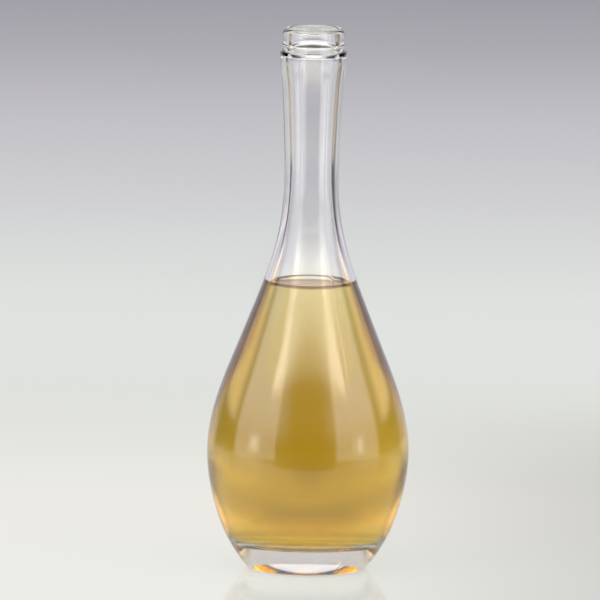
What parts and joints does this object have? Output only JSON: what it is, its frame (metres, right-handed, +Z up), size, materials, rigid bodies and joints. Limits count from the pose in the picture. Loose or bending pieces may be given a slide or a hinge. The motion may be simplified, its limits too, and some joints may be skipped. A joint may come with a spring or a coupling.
{
  "type": "long-neck glass bottle",
  "caption": "Clear glass bottle with a teardrop body, a long narrow neck and a rounded lip, standing open and filled with a pale amber drink up to the foot of the neck.",
  "frame": {"origin": "centre of the base, on the plane that the bottle stands on", "axes": "+Z up along the bottle's axis, from the base towards the lip"},
  "size_m": [0.091, 0.091, 0.245],
  "materials": {
    "clear_glass": "polished clear",
    "amber_drink": "clear liquid"
  },
  "bodies": {
    "root": {"glass_bottle": "clear_glass", "drink": "amber_drink"}
  },
  "joints": []
}
